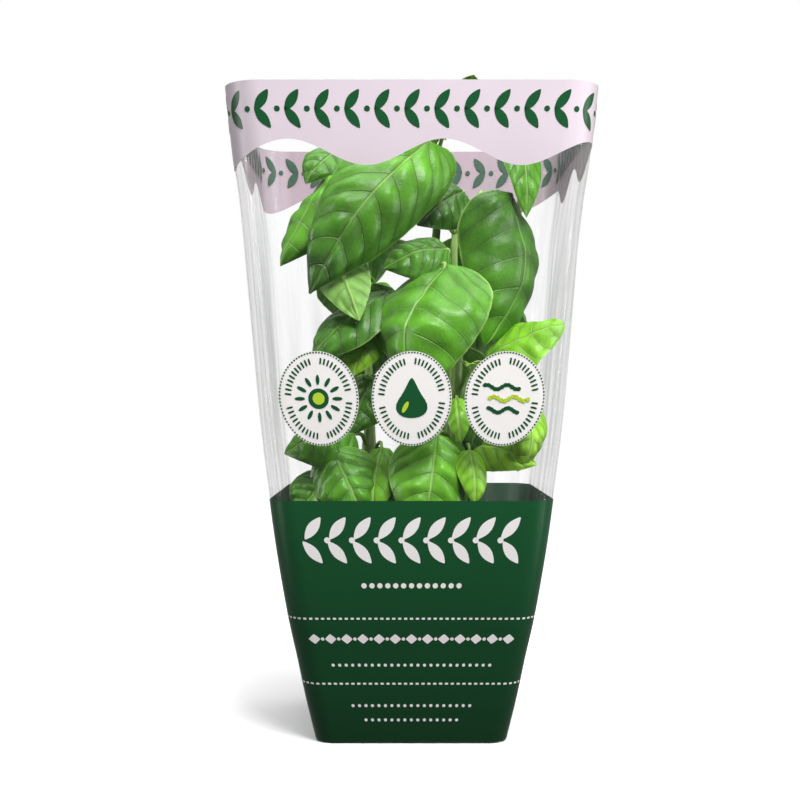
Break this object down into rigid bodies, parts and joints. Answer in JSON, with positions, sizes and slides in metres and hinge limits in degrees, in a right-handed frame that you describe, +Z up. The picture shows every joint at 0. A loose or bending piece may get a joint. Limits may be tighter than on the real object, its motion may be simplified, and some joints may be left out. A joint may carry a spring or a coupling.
{
  "type": "potted basil plant in a printed film sleeve",
  "caption": "Living basil in a square nursery pot inside a tall tapered clear film sleeve with a green printed base, a wavy lilac rim band and oval badges.",
  "frame": {"origin": "middle of the sleeve's flat foot, on the surface that it stands on", "axes": "+Z up through the plant to the open rim; -Y is the front that the picture shows, +X to the right of it"},
  "size_m": [0.1686, 0.1686, 0.3065],
  "materials": {
    "clear_film": "clear glossy film",
    "green_ink": "opaque satin print on film",
    "lilac_ink": "opaque satin print on film",
    "white_ink": "opaque satin print on film",
    "pot_plastic": "matt moulded plastic",
    "growing_medium": "damp peat",
    "basil": "soft-glossy living leaf"
  },
  "bodies": {
    "root": {"film_sleeve": "clear_film", "green_print": "green_ink", "lilac_print": "lilac_ink", "badge_front_left": "white_ink", "badge_front_middle": "white_ink", "badge_front_right": "white_ink", "badge_back_left": "white_ink", "badge_back_middle": "white_ink", "badge_back_right": "white_ink", "pot": "pot_plastic", "soil": "growing_medium", "leafy_stem_tall": "basil", "leafy_stem_right": "basil", "leafy_stem_middle": "basil", "leafy_stem_low_left": "basil", "leafy_stem_low_right": "basil", "leafy_stem_back_left": "basil", "leafy_stem_back_right": "basil"}
  },
  "joints": []
}
